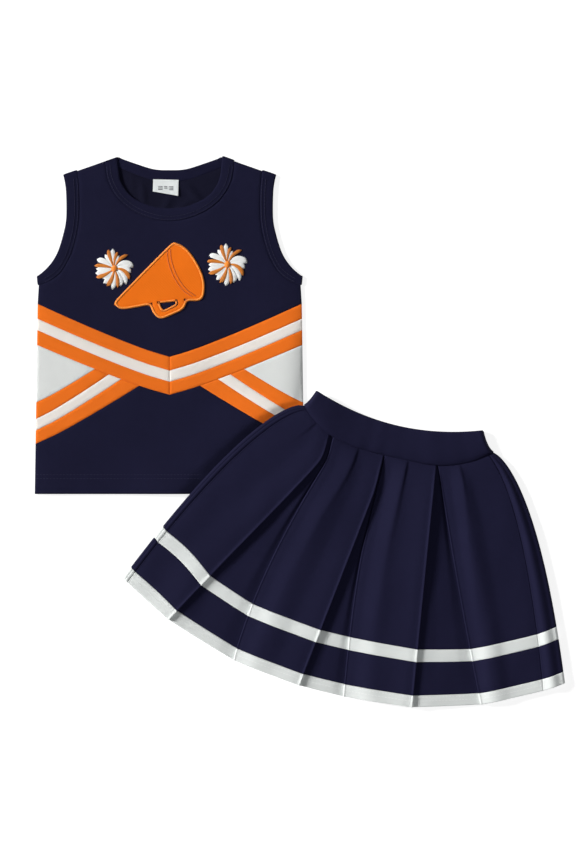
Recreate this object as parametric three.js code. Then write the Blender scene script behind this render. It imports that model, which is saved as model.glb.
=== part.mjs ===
// A small child's two-piece cheer uniform laid flat on a table: a sleeveless knit top with a
// striped chevron front, and a box-pleated skirt whose upper left corner lies over the top's hem.
// Millimetres, +Z up. The top is built in its own frame, with the middle of its hem at the origin
// and its neck towards +Y. The skirt has a second frame (across, down) turned on the table.

import * as THREE from "three";

// ---------- driving dimensions ----------
const CLOTH = 1.0;             // thickness of every knit panel
const SEAM = 0.3;              // clearance left between two pieces sewn edge to edge
const BACK_Z = 0;              // underside of the top's back panel
const FRONT_Z = CLOTH + SEAM;  // underside of the top's front pieces
const BAND = 1.2;              // thickness of the folded neck and armhole bands
const FRONT_BAND_Z = BAND + SEAM;

const HALF_HEM = 130.8;
const HALF_CHEST = 127.6;
const UNDERARM = 211.7;
const SHOULDER_TIP = [103, 308.5];
const ARMBAND_SHOULDER = [89.6, 313.2];
const NECK_POINT = [50.9, 326.7];
const NECKBAND_SHOULDER = [62.5, 322.7];

const NAVY = new THREE.Color(0.016, 0.015, 0.04);
const SKIRT_NAVY = new THREE.Color(0.013, 0.014, 0.05);
const WHITE = new THREE.Color(0.76, 0.75, 0.74);
const ORANGE = new THREE.Color(0.86, 0.18, 0.012);
const THREAD_ORANGE = new THREE.Color(0.9, 0.26, 0.03);

const group = new THREE.Group();
group.name = "cheer_uniform";

// ---------- helpers ----------
function add(name, geometry, color, roughness = 0.9) {
  const material = new THREE.MeshStandardMaterial({ color, roughness, metalness: 0 });
  material.name = name;
  const mesh = new THREE.Mesh(geometry, material);
  mesh.name = name;
  group.add(mesh);
}

const mirrored = (points) => points.map(([x, y]) => [-x, y]).reverse();

// A smooth curve through a few points, cut into `segments` pieces.
function curveThrough(points, segments) {
  const curve = new THREE.SplineCurve(points.map(([x, y]) => new THREE.Vector2(x, y)));
  return curve.getPoints(segments).map((p) => [p.x, p.y]);
}

// Counter-clockwise copy of an outline, moved inwards so that sewn neighbours stay clear.
function inset(points, distance) {
  const ring = points.map(([x, y]) => new THREE.Vector2(x, y));
  if (THREE.ShapeUtils.isClockWise(ring)) ring.reverse();
  return ring.map((here, i) => {
    const before = ring[(i + ring.length - 1) % ring.length];
    const after = ring[(i + 1) % ring.length];
    const into = here.clone().sub(before).normalize();
    const out = after.clone().sub(here).normalize();
    const normal = new THREE.Vector2(-into.y - out.y, into.x + out.x).normalize();
    const slant = Math.max(0.35, -into.y * normal.x + into.x * normal.y);
    return here.clone().addScaledVector(normal, distance / slant);
  });
}

// A flat piece of cloth: an outline given a thickness.
function slab(points, bottom, thickness, clearance = SEAM / 2, holes = []) {
  const shape = new THREE.Shape(inset(points, clearance));
  shape.holes = holes.map((hole) => new THREE.Path(inset(hole, -clearance).reverse()));
  const geometry = new THREE.ExtrudeGeometry(shape, { depth: thickness, bevelEnabled: false });
  return geometry.translate(0, 0, bottom);
}

// A closed skin over rings of points. Each ring lists the outer side, then the inner side
// backwards, so that point i and point (size - 1 - i) face each other through the cloth.
function skin(rings, loop = false) {
  const size = rings[0].length;
  const index = [];
  const last = loop ? rings.length : rings.length - 1;
  for (let r = 0; r < last; r += 1) {
    const here = r * size;
    const next = ((r + 1) % rings.length) * size;
    for (let i = 0; i < size; i += 1) {
      const j = (i + 1) % size;
      index.push(here + i, here + j, next + j, here + i, next + j, next + i);
    }
  }
  if (!loop) {
    const end = (rings.length - 1) * size;
    for (let i = 0; i < size / 2 - 1; i += 1) {
      const far = size - 1 - i;
      index.push(i, far, i + 1, i + 1, far, far - 1);
      index.push(end + i, end + i + 1, end + far, end + i + 1, end + far - 1, end + far);
    }
  }
  const geometry = new THREE.BufferGeometry();
  geometry.setAttribute("position", new THREE.Float32BufferAttribute(rings.flat(2), 3));
  geometry.setIndex(index);
  return outward(geometry);
}

// Turns the faces over when the skin came out facing inwards.
function outward(geometry) {
  const p = geometry.attributes.position;
  const corner = [0, 1, 2].map(() => new THREE.Vector3());
  const index = geometry.index.array;
  let volume = 0;
  for (let i = 0; i < index.length; i += 3) {
    corner.forEach((c, k) => c.fromBufferAttribute(p, index[i + k]));
    volume += corner[0].dot(corner[1].clone().cross(corner[2]));
  }
  if (volume < 0) {
    for (let i = 0; i < index.length; i += 3) {
      [index[i + 1], index[i + 2]] = [index[i + 2], index[i + 1]];
    }
  }
  geometry.computeVertexNormals();
  return geometry;
}

// ---------- the top ----------
const sideX = (y) => HALF_HEM + ((HALF_CHEST - HALF_HEM) * y) / UNDERARM;

// Neck and armhole curves, each on the +X side or symmetric about the middle.
const neckHalf = [NECK_POINT, [48.5, 306.5], [41.8, 293.5], [31.5, 285], [15.5, 278.6], [0, 276.9]];
const seamHalf = [NECKBAND_SHOULDER, [60, 305], [51.5, 288.5], [37, 275.5], [18.5, 267.3], [0, 264.5]];
const neckEdge = curveThrough([...neckHalf, ...mirrored(neckHalf).slice(1)], 20);
const neckSeam = curveThrough([...seamHalf, ...mirrored(seamHalf).slice(1)], 20);
const backNeckEdge = curveThrough(
  [NECK_POINT, [33.5, 320.5], [15.5, 315], [0, 314.1], [-15.5, 315], [-33.5, 320.5],
    [-NECK_POINT[0], NECK_POINT[1]]], 20);
const backNeckSeam = curveThrough(
  [NECKBAND_SHOULDER, [40, 312.5], [19, 305], [0, 302.8], [-19, 305], [-40, 312.5],
    [-NECKBAND_SHOULDER[0], NECKBAND_SHOULDER[1]]], 20);
const armEdge = curveThrough(
  [SHOULDER_TIP, [100.6, 295], [100.2, 269], [102.6, 254], [108, 236], [114, 225], [121, 217],
    [HALF_CHEST, UNDERARM]], 14);
const armSeam = curveThrough(
  [ARMBAND_SHOULDER, [87.9, 295], [87.8, 269.2], [90.6, 250.3], [96.1, 231.8], [105.5, 215.3],
    [117.5, 206], [126.9, 202.7]], 14);

// Heights of the four edges of the chevron's three strips, at the centre seam and at the sides.
const CHEVRON_CENTRE = [132.9, 119.6, 108.8, 96.2];
const CHEVRON_SIDE = [184.5, 170, 158.9, 144.4];
const CHEVRON_REACH = 128.3;
const CHEVRON_BEND = 1.15;
function chevronY(k, x) {
  const rise = (x / CHEVRON_REACH) ** CHEVRON_BEND;
  return CHEVRON_CENTRE[k] + (CHEVRON_SIDE[k] - CHEVRON_CENTRE[k]) * rise;
}
function chevronEdge(k, from, to, segments = 6) {
  return Array.from({ length: segments + 1 }, (_, i) => {
    const x = from + ((to - from) * i) / segments;
    return [x, chevronY(k, x)];
  });
}
const chevronSide = (k) => sideX(CHEVRON_SIDE[k]);

// The four edges of the crossed bands, from the chevron's lower edge out to the side seam.
const BAND_SIDE = [88.8, 72.7, 61.5, 48.5];
const BAND_MEETS = [72.4, 58.9, 46.9, 29.3];
const BAND_BEND = 1.12;
function bandEdge(k, segments = 5) {
  const end = sideX(BAND_SIDE[k]);
  const rise = chevronY(3, BAND_MEETS[k]) - BAND_SIDE[k];
  return Array.from({ length: segments + 1 }, (_, i) => {
    const left = 1 - i / segments;
    return [BAND_MEETS[k] + (end - BAND_MEETS[k]) * (1 - left), BAND_SIDE[k] + rise * left ** BAND_BEND];
  });
}

function bothSides(name, outline, color) {
  add(`${name}_left`, slab(mirrored(outline), FRONT_Z, CLOTH), color);
  add(`${name}_right`, slab(outline, FRONT_Z, CLOTH), color);
}

function buildTopBody() {
  const half = [[HALF_HEM, 0], ...[...armSeam].reverse(), ...backNeckSeam.slice(0, 10)];
  add("back_panel", slab([...half, ...mirrored(half)], BACK_Z, CLOTH), NAVY);

  const yokeHalf = [
    ...chevronEdge(0, 0, chevronSide(0)), ...[...armSeam].reverse(), ...neckSeam.slice(0, 10)];
  add("front_yoke", slab([...yokeHalf, neckSeam[10], ...mirrored(yokeHalf).slice(0, -1)],
    FRONT_Z, CLOTH), NAVY);

  ["upper", "middle", "lower"].forEach((place, k) => {
    const color = place === "middle" ? WHITE : ORANGE;
    const lowerEdge = chevronEdge(k + 1, 0, chevronSide(k + 1));
    bothSides(`chevron_${place}`, [...chevronEdge(k, 0, chevronSide(k)), ...lowerEdge.reverse()], color);
    const along = chevronEdge(3, BAND_MEETS[k + 1], BAND_MEETS[k], 1);
    const band = [...bandEdge(k), ...bandEdge(k + 1).reverse(), ...along.slice(1, -1)];
    bothSides(`crossed_band_${place}`, band, color);
  });

  const insertTop = chevronEdge(3, BAND_MEETS[0], chevronSide(3), 4);
  bothSides("side_insert", [...insertTop, ...bandEdge(0).reverse().slice(0, -1)], WHITE);

  const lowerHalf = [
    [HALF_HEM, 0], ...bandEdge(3).reverse(), ...chevronEdge(3, BAND_MEETS[3], 0, 2).slice(1)];
  add("front_lower_panel", slab([...lowerHalf, ...mirrored(lowerHalf).slice(1)], FRONT_Z, CLOTH), NAVY);
}

// A folded band that runs round an opening: over the front, round the fold at one end, back
// under the garment and round the fold at the other end.
function bandLoop(frontSeam, frontEdge, backSeam, backEdge) {
  const high = FRONT_BAND_Z + BAND / 2;
  const low = BACK_Z + BAND / 2;
  const radius = (high - low) / 2;
  const rings = [];
  function ring(seam, edge, level, outX, outY, tilt) {
    const shift = radius * Math.sin(tilt);
    const half = BAND / 2;
    const corner = ([x, y], side) => [
      x + outX * (shift + side * half * Math.sin(tilt)),
      y + outY * (shift + side * half * Math.sin(tilt)),
      level + side * half * Math.cos(tilt)];
    rings.push([corner(seam, 1), corner(edge, 1), corner(edge, -1), corner(seam, -1)]);
  }
  function halfLoop(seam, edge, startTilt) {
    const level = startTilt === 0 ? high : low;
    const last = seam.length - 1;
    const end = [edge[last][0] - seam[last][0], edge[last][1] - seam[last][1]];
    const length = Math.hypot(...end);
    let out = [-end[1] / length, end[0] / length];
    const travel = [seam[last][0] - seam[last - 1][0], seam[last][1] - seam[last - 1][1]];
    if (out[0] * travel[0] + out[1] * travel[1] < 0) out = [-out[0], -out[1]];
    seam.forEach((point, i) => ring(point, edge[i], level, 0, 0, startTilt));
    const FOLD_STEPS = 4;
    for (let step = 1; step < FOLD_STEPS; step += 1) {
      const tilt = startTilt + (Math.PI * step) / FOLD_STEPS;
      const middle = (high + low) / 2 + radius * Math.cos(tilt);
      const side = Math.sign(Math.sin(tilt));
      ring(seam[last], edge[last], middle, out[0] * side, out[1] * side, tilt);
    }
  }
  halfLoop(frontSeam, frontEdge, 0);
  halfLoop([...backSeam].reverse(), [...backEdge].reverse(), Math.PI);
  return skin(rings, true);
}

function buildBands() {
  const clear = ([x, y], [towardX, towardY]) => {
    const length = Math.hypot(towardX - x, towardY - y);
    return [x + ((towardX - x) * SEAM) / length, y + ((towardY - y) * SEAM) / length];
  };
  const pulledIn = (seam, edge) => seam.map((point, i) => clear(point, edge[i]));
  add("neckband", bandLoop(pulledIn(neckSeam, neckEdge), neckEdge,
    pulledIn(backNeckSeam, backNeckEdge), backNeckEdge), NAVY);
  const seam = pulledIn(armSeam, armEdge);
  add("armhole_band_right", bandLoop(seam, armEdge, seam, armEdge), NAVY);
  const flip = (points) => points.map(([x, y]) => [-x, y]);
  add("armhole_band_left", bandLoop(flip(seam), flip(armEdge), flip(seam), flip(armEdge)), NAVY);
}

// The woven size label, sewn into the back neck seam along its top edge.
const LABEL_Z = 1.7;
const LABEL = 0.4;
function buildLabel() {
  const outline = [[-16, 305.1], [8.7, 304.5], [8.3, 288.9], [-16.3, 293.2]];
  add("size_label", slab(outline, LABEL_Z, LABEL, 0), WHITE, 0.7);
}

// ---------- applique and embroidery on the yoke ----------
const APPLIQUE_Z = FRONT_Z + CLOTH + SEAM;
const MEGAPHONE = [
  [-53.3, 184.5], [-46.6, 178.9], [-18.2, 183.6], [-17.2, 178], [-14.4, 173.3], [-8.7, 169.4],
  [-0.9, 172.2], [12.5, 178.4], [15.8, 183.3], [15.6, 187.4], [29.2, 187.2], [33.1, 192.3],
  [33.7, 205.6], [29.2, 219], [20.3, 233.5], [12.5, 240.8], [4.7, 243.5], [-0.9, 240.2], [-51, 189]];
const HANDLE_HOLE = [[-9.8, 185], [5.8, 186.7], [5.8, 183.9], [-4.3, 178.9], [-7, 179.4]];
const BELL_RIM = [[-2.2, 236.2], [-1.5, 226], [3.6, 211.2], [12.5, 197.9], [22, 191]];

function buildMegaphone() {
  const PATCH = 0.6;
  const STITCH = 1.8;        // width of the satin stitching round the patch
  const STITCH_HEIGHT = 0.9;
  const asPoints = (ring) => ring.map((p) => [p.x, p.y]);
  const patch = asPoints(inset(MEGAPHONE, STITCH + SEAM));
  const hole = asPoints(inset(HANDLE_HOLE, -STITCH - SEAM));
  add("megaphone_patch", slab(patch, APPLIQUE_Z, PATCH, 0, [hole]), ORANGE);
  const stitched = (name, outer, inner) => {
    add(name, slab(outer, APPLIQUE_Z, STITCH_HEIGHT, 0, [inner]), THREAD_ORANGE, 0.6);
  };
  stitched("megaphone_edge_stitching", MEGAPHONE, asPoints(inset(MEGAPHONE, STITCH)));
  stitched("megaphone_handle_stitching", asPoints(inset(HANDLE_HOLE, -STITCH)), HANDLE_HOLE);
  const rim = curveThrough(BELL_RIM, 10);
  const RIM_WIDTH = 3.2;
  const other = rim.map(([x, y]) => [x + RIM_WIDTH * 0.93, y + RIM_WIDTH * 0.37]).reverse();
  const bell = slab([...rim, ...other], APPLIQUE_Z + PATCH + SEAM, 0.5, 0);
  add("megaphone_bell_stitching", bell, THREAD_ORANGE, 0.6);
}

// One colour of a pom-pom: curved petals that sweep round from a small hub.
const PETALS = 11;
function petals(centre, radius, hub, turn, level) {
  const outline = [];
  const SWEEP = 0.75;
  const HALF_PETAL = 0.3;
  const polar = (r, angle) => [centre[0] + r * Math.cos(angle), centre[1] + r * Math.sin(angle)];
  for (let i = 0; i < PETALS; i += 1) {
    const middle = turn + (2 * Math.PI * i) / PETALS;
    outline.push(polar(hub, middle - HALF_PETAL * 0.8));
    outline.push(polar(radius * 0.6, middle + SWEEP * 0.6 - HALF_PETAL * 0.55));
    outline.push(polar(radius, middle + SWEEP));
    outline.push(polar(radius * 0.6, middle + SWEEP * 0.6 + HALF_PETAL * 0.45));
  }
  return slab(outline, level, 0.5, 0);
}
function buildPomPoms() {
  const RADIUS = 19.8;
  const places = { left: [-53.5, 218.6], right: [56.1, 222.7] };
  for (const [side, centre] of Object.entries(places)) {
    add(`pompom_white_${side}`, petals(centre, RADIUS, 5, 0, APPLIQUE_Z), WHITE, 0.6);
    add(`pompom_orange_${side}`,
      petals(centre, RADIUS * 0.96, 4.4, Math.PI / PETALS, APPLIQUE_Z + 0.5 + SEAM), ORANGE, 0.6);
  }
}

// ---------- the skirt ----------
const SKIRT_ORIGIN = [223, 80.9];   // middle of the waistband's top edge, in the top's frame
const SKIRT_TURN = THREE.MathUtils.degToRad(13.4);
const WAIST_LOW = 45;               // depth of the waist seam at the middle
const SKIRT_LENGTH = 237;           // waist seam to hem at the middle
const STRIPE_TOP = 0.758;           // where the sewn bands meet, as a share of that length
const STRIPE_END = 0.811;
const HEM_TOP = 0.9506;
const LIFT = 3.1;                   // how high the skirt rides where it lies over the top

// The skirt drops from the top's edge down to the table over a short slope.
function lift(x, y) {
  const away = Math.hypot(Math.max(0, x - HALF_HEM), Math.max(0, -y));
  return LIFT * (1 - THREE.MathUtils.smoothstep(away, 12, 70));
}
function onSkirt(across, down, z) {
  const x = SKIRT_ORIGIN[0] + across * Math.cos(SKIRT_TURN) - down * Math.sin(SKIRT_TURN);
  const y = SKIRT_ORIGIN[1] - across * Math.sin(SKIRT_TURN) - down * Math.cos(SKIRT_TURN);
  return [x, y, z + lift(x, y)];
}

// One row of the cloth at share t of the length: how far it reaches to one side, and how high
// its end sits. The sides flare quickly at first, then run straight to the hem. The waist seam
// ends a little way down the right-hand flare.
const SIDE_FALL = 204;              // how far each side runs down from the waistband
const SIDE_TOP = { reach: 92, height: 16 };
const FLARES = {
  left: { start: 0, flare: 3.716, bend: 0.67, drop: 1.2 },
  right: { start: 1.5, flare: 4.6, bend: 0.62, drop: 1.06 },
};
function rowEnd(t, side) {
  const { start, flare, bend, drop } = side < 0 ? FLARES.left : FLARES.right;
  const fall = THREE.MathUtils.lerp(start, SIDE_FALL, t ** drop);
  return { reach: SIDE_TOP.reach + flare * fall ** bend, height: SIDE_TOP.height + fall };
}
function rowDepth(across, t) {
  const end = rowEnd(t, across);
  const middle = WAIST_LOW + SKIRT_LENGTH * t;
  const roundness = 3.4 - 1.05 * t;
  const share = Math.min(1, Math.abs(across) / end.reach);
  return end.height + (middle - end.height) * (1 - share ** roundness);
}

// How far each side seam is set in from the folded edge: it starts just clear of the fold at the
// waist and moves in down the length, quickly at first.
const SEAM_START = 4.2;
const SEAM_INSET = { left: 5, right: 18.5 };
function seamInset(t, side) {
  const full = side < 0 ? SEAM_INSET.left : SEAM_INSET.right;
  return THREE.MathUtils.lerp(SEAM_START, full, t ** 0.55);
}

// The pleats: the left and right edges of each recess, which is closed at the waist and opens
// to the hem.
const after = (t, start) => Math.max(0, (t - start) / (1 - start));
const LEAST_OPENING = 1.6;
const PLEATS = [
  {
    left: (t) => -61 - 109.5 * after(t, 0.095),
    right: (t) => -57.5 - 43 * (1 - (1 - after(t, 0.05)) ** 1.5),
  },
  { left: (t) => -5.4 - 27.6 * after(t, 0.15), right: (t) => -4 + 15 * after(t, 0.4) ** 1.4 },
  { left: (t) => 46.4 + 31.6 * t, right: (t) => 48.4 + 94 * t },
];
const recessEdges = ({ left, right }, t) => [left(t), Math.max(right(t), left(t) + LEAST_OPENING)];
const UNDERLAY_Z = 2.5;             // mid-thickness of the cloth at the bottom of a recess
const TURN_RADIUS = 0.7;            // mid-thickness radius of a pressed fold
const RETURN_Z = UNDERLAY_Z + 2 * TURN_RADIUS;
const PANEL_Z = RETURN_Z + 2 * TURN_RADIUS;
const CROWN = 1.8;                  // how far a raised panel bows up between its folds

function panel(from, to, t, segments) {
  const crown = CROWN * Math.min(1, 0.3 + t);
  return Array.from({ length: segments + 1 }, (_, i) => {
    const share = i / segments;
    return [from + (to - from) * share, PANEL_Z + crown * Math.sin(Math.PI * share)];
  });
}
function recess(pleat, t) {
  const tuck = 12 - 5 * t;
  const r = TURN_RADIUS;
  const [edge, far] = recessEdges(pleat, t);
  return [
    [edge, PANEL_Z - r], [edge - r, RETURN_Z],
    [edge - tuck + r, RETURN_Z], [edge - tuck, RETURN_Z - r], [edge - tuck + r, UNDERLAY_Z],
    [(edge + far) / 2, UNDERLAY_Z],
    [far + tuck - r, UNDERLAY_Z], [far + tuck, UNDERLAY_Z + r], [far + tuck - r, RETURN_Z],
    [far + r, RETURN_Z], [far, RETURN_Z + r]];
}
function frontCentreline(t) {
  const r = TURN_RADIUS;
  const start = -rowEnd(t, -1).reach + seamInset(t, -1) + SEAM / 2;
  const end = rowEnd(t, 1).reach - seamInset(t, 1) - SEAM / 2;
  const folds = PLEATS.flatMap((pleat) => recessEdges(pleat, t));
  const edges = [start, ...folds.map((edge, i) => edge + (i % 2 ? r : -r)), end];
  const raised = (k) => panel(edges[2 * k], edges[2 * k + 1], t, 4);
  return [...PLEATS.flatMap((pleat, k) => [...raised(k), ...recess(pleat, t)]), ...raised(3)];
}
// The back is one width of cloth that wraps round both folded edges to the set-in side seams.
function backCentreline(t) {
  const low = CLOTH / 2;
  const middle = (PANEL_Z + low) / 2;
  const radius = (PANEL_Z - low) / 2;
  const FOLD_STEPS = 4;
  const wrap = (side) => {
    const reach = rowEnd(t, side).reach;
    const inner = reach - seamInset(t, side) + SEAM / 2;
    const fold = Array.from({ length: FOLD_STEPS + 1 }, (_, i) => {
      const angle = Math.PI / 2 - (Math.PI * i) / FOLD_STEPS;
      return [side * (reach - radius + radius * Math.cos(angle)), middle + radius * Math.sin(angle)];
    });
    return [[side * inner, PANEL_Z], ...fold];
  };
  const left = wrap(-1);
  const right = wrap(1).reverse();
  const ACROSS = 18;
  const from = left.at(-1)[0];
  const to = right[0][0];
  const flat = Array.from({ length: ACROSS - 1 }, (_, i) => (
    [from + ((to - from) * (i + 1)) / ACROSS, low]));
  return [...left, ...flat, ...right];
}

// Gives a centreline of [across, z] points the cloth's thickness and places it on row t.
function clothRing(centreline, t) {
  const line = centreline.map(([a, z]) => new THREE.Vector2(a, z));
  const outer = [];
  const inner = [];
  line.forEach((here, i) => {
    const into = (i > 0 ? here.clone().sub(line[i - 1]) : line[1].clone().sub(here)).normalize();
    const out = (i < line.length - 1 ? line[i + 1].clone().sub(here) : into.clone()).normalize();
    const normal = new THREE.Vector2(-into.y - out.y, into.x + out.x).normalize();
    const slant = -into.y * normal.x + into.x * normal.y;
    const offset = normal.multiplyScalar(CLOTH / 2 / slant);
    outer.push(here.clone().add(offset));
    inner.unshift(here.clone().sub(offset));
  });
  return [...outer, ...inner].map((p) => onSkirt(p.x, rowDepth(p.x, t), p.y));
}
function clothBetween(centreline, from, to, rows) {
  const gap = SEAM / 2 / SKIRT_LENGTH;
  const rings = Array.from({ length: rows + 1 }, (_, i) => {
    const t = from + gap + ((to - from - 2 * gap) * i) / rows;
    return clothRing(centreline(t), t);
  });
  return skin(rings);
}

function buildSkirtPanels() {
  const bands = [
    ["upper_panel", 0, STRIPE_TOP, 7, SKIRT_NAVY],
    ["ribbon_stripe", STRIPE_TOP, STRIPE_END, 1, WHITE],
    ["lower_panel", STRIPE_END, HEM_TOP, 2, SKIRT_NAVY],
    ["hem_band", HEM_TOP, 1, 1, WHITE],
  ];
  for (const [name, from, to, rows, color] of bands) {
    add(`skirt_front_${name}`, clothBetween(frontCentreline, from, to, rows), color);
    add(`skirt_back_${name}`, clothBetween(backCentreline, from, to, rows), color);
  }
}

// The waistband is one folded casing that runs right round, with an elastic inside it.
const WAIST_HEIGHT = 6.8;           // thickness of the flattened waistband, front and back
const WAIST_TOP = { reach: 83.4, sag: 15 };
const CASING_DEPTH = 29;            // top fold to waist seam

// Stations round the flattened loop: `flat` runs from -1 to 1 across the front and back again,
// and `angle` turns from 0 on the front to pi on the back round each side.
function waistStations() {
  const ACROSS = 18;
  const ROUND = 4;
  const half = (side) => [
    ...Array.from({ length: ACROSS + 1 }, (_, i) => (
      { flat: side * (-1 + (2 * i) / ACROSS), angle: side > 0 ? 0 : Math.PI })),
    ...Array.from({ length: ROUND - 1 }, (_, i) => {
      const part = (i + 1) / ROUND;
      return { flat: side, angle: Math.PI * (side > 0 ? part : 1 - part) };
    }),
  ];
  return [...half(1), ...half(-1)];
}
function waistPoint({ flat, angle }, share, depth) {
  const radius = WAIST_HEIGHT / 2;
  const reach = THREE.MathUtils.lerp(WAIST_TOP.reach, rowEnd(0, flat).reach, share);
  const across = flat * (reach - radius) + Math.sign(flat) * (radius - depth) * Math.sin(angle);
  const top = WAIST_TOP.sag * (1 - Math.min(1, Math.abs(across) / reach) ** 2);
  const down = THREE.MathUtils.lerp(top, rowDepth(across, 0), share);
  return onSkirt(across, down, radius + (radius - depth) * Math.cos(angle));
}
function buildWaistband() {
  const loop = (section) => waistStations().map((station) =>
    section.map(([share, depth]) => waistPoint(station, share, depth)));
  const end = 1 - SEAM / 2 / CASING_DEPTH;
  const casing = [
    [end, 0], [0.5, 0], [0.04, 0], [0, 0.7], [0, 2.3], [0.04, 3], [0.5, 3],
    [end, 3], [end, 2.2], [0.5, 2.2], [0.09, 2.2], [0.09, 0.8], [0.5, 0.8], [end, 0.8]];
  add("waistband_casing", skin(loop(casing), true), SKIRT_NAVY);
  const elastic = [[0.9, 1.15], [0.5, 1.15], [0.14, 1.15], [0.14, 1.85], [0.5, 1.85], [0.9, 1.85]];
  add("waist_elastic", skin(loop(elastic), true), WHITE, 0.8);
}

buildTopBody();
buildBands();
buildLabel();
buildMegaphone();
buildPomPoms();
buildWaistband();
buildSkirtPanels();

// Put the origin under the middle of the whole set.
const box = new THREE.Box3().setFromObject(group);
const centre = box.getCenter(new THREE.Vector3());
for (const mesh of group.children) {
  mesh.geometry.translate(-centre.x, -centre.y, -box.min.z);
}

export default group;
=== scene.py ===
import math

import bpy
import numpy as np
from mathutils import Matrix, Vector
from mathutils.geometry import delaunay_2d_cdt


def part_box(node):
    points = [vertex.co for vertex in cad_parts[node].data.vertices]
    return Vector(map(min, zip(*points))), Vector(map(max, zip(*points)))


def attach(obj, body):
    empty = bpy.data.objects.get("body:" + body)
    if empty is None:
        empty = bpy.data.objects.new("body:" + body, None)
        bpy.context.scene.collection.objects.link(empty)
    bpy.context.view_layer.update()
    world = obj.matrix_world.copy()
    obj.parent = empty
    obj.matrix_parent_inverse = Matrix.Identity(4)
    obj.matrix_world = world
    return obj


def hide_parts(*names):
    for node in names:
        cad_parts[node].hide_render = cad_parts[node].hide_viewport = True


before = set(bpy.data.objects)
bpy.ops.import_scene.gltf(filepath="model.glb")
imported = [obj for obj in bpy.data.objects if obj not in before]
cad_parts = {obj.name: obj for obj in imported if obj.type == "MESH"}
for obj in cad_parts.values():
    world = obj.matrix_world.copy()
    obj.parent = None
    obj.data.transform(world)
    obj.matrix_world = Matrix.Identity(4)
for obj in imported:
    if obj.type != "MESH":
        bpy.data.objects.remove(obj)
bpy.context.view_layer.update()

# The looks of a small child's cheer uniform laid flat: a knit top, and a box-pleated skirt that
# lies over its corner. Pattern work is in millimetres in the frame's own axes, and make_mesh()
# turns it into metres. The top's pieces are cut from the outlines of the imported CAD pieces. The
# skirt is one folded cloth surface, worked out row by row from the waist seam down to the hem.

MM = 0.001


def box_of(name):
    """The low and high corners of a CAD node, in mm."""
    return [np.array(corner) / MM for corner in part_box(name)]


# ------------------------------ places and sizes
SEWN_GAP = 0.3                    # clearance the CAD leaves between sewn neighbours
CLOTH = 1.0                       # thickness of one knit layer
back_low, back_high = box_of("back_panel")
TOP_X = (back_low[0] + back_high[0]) / 2
HEM_Y = back_low[1] - SEWN_GAP / 2
HALF_HEM = (back_high[0] - back_low[0] + SEWN_GAP) / 2
BACK_MID = 0.8                    # height of the middle of the back layer's cloth
FRONT_MID = 1.85                  # the same for the front layer where it is sewn to the back

SKIRT_X = TOP_X + 223.0           # middle of the waistband's top edge
SKIRT_Y = HEM_Y + 80.9
SKIRT_TURN = math.radians(13.4)
TURN_COS, TURN_SIN = math.cos(SKIRT_TURN), math.sin(SKIRT_TURN)
WAIST_LOW = 45.0                  # depth of the waist seam at the middle
SKIRT_LENGTH = 237.0
STRIPE_TOP, STRIPE_END, HEM_TOP = 0.758, 0.811, 0.9506
SKIRT_LIFT = 3.9                  # how high the skirt rides where it lies over the top


def unit(v):
    return v / np.maximum(np.linalg.norm(v, axis=-1, keepdims=True), 1e-9)


def smoothstep(x, low, high):
    s = np.clip((x - low) / (high - low), 0, 1)
    return s * s * (3 - 2 * s)


def ripple(x, y, length, seed):
    """A smooth random-looking wave between about -1 and 1, with bumps about `length` mm apart."""
    rng = np.random.default_rng(seed)
    total = 0
    for _ in range(6):
        angle = rng.uniform(0, 2 * math.pi)
        reach = length * rng.uniform(0.75, 1.5)
        along = x * math.cos(angle) + y * math.sin(angle)
        total = total + np.sin(2 * math.pi * along / reach + rng.uniform(0, 2 * math.pi))
    return total / 3


def add_object(name, data):
    made = bpy.data.objects.new(name, data)
    bpy.context.scene.collection.objects.link(made)
    return made


def make_mesh(name, points, faces, material, uv):
    """A smooth-shaded object from points and cloth coordinates in mm."""
    mesh = bpy.data.meshes.new(name)
    mesh.from_pydata((np.asarray(points) * MM).tolist(), [], faces)
    layer = mesh.uv_layers.new(name="cloth")
    corners = np.zeros(len(mesh.loops), np.int32)
    mesh.loops.foreach_get("vertex_index", corners)
    layer.data.foreach_set("uv", np.asarray(uv, np.float32)[corners].ravel())
    mesh.shade_smooth()
    mesh.materials.append(material)
    return add_object(f"{name}_visual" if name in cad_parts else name, mesh)


def walls(here, after):
    """Quads between two rows, or stacks of rows, of point numbers that run round closed rings."""
    return np.stack([here, np.roll(here, -1, -1), np.roll(after, -1, -1), after], -1).reshape(-1, 4)


def settle(piece, body, slot, *nodes):
    """Hangs a piece on its body, and hides the CAD nodes that it stands for. The slot is not used.
    """
    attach(piece, body)
    if nodes:
        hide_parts(*nodes)
    return piece


# ------------------------------ materials
PLAIN = (1, 1, 1)


def set_inputs(tree, made, inputs):
    """Links sockets, and sets plain values, on a shader node."""
    for socket, value in inputs.items():
        if isinstance(value, bpy.types.NodeSocket):
            tree.links.new(value, made.inputs[socket])
        else:
            made.inputs[socket].default_value = value


def principled(name, colour, roughness, specular, sheen=0.0, sheen_tint=PLAIN, gloss_tint=PLAIN):
    material = bpy.data.materials.new(name)
    material.use_nodes = True
    tree = material.node_tree
    shader = tree.nodes["Principled BSDF"]
    set_inputs(tree, shader, {
        "Base Color": (*colour, 1), "Roughness": roughness, "Specular IOR Level": specular,
        "Specular Tint": (*gloss_tint, 1), "Sheen Weight": sheen, "Sheen Roughness": 0.45,
        "Sheen Tint": (*sheen_tint, 1)})
    return material, tree, shader


def node(tree, kind, inputs, **settings):
    made = tree.nodes.new(kind)
    for key, value in settings.items():
        setattr(made, key, value)
    set_inputs(tree, made, inputs)
    return made


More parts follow.
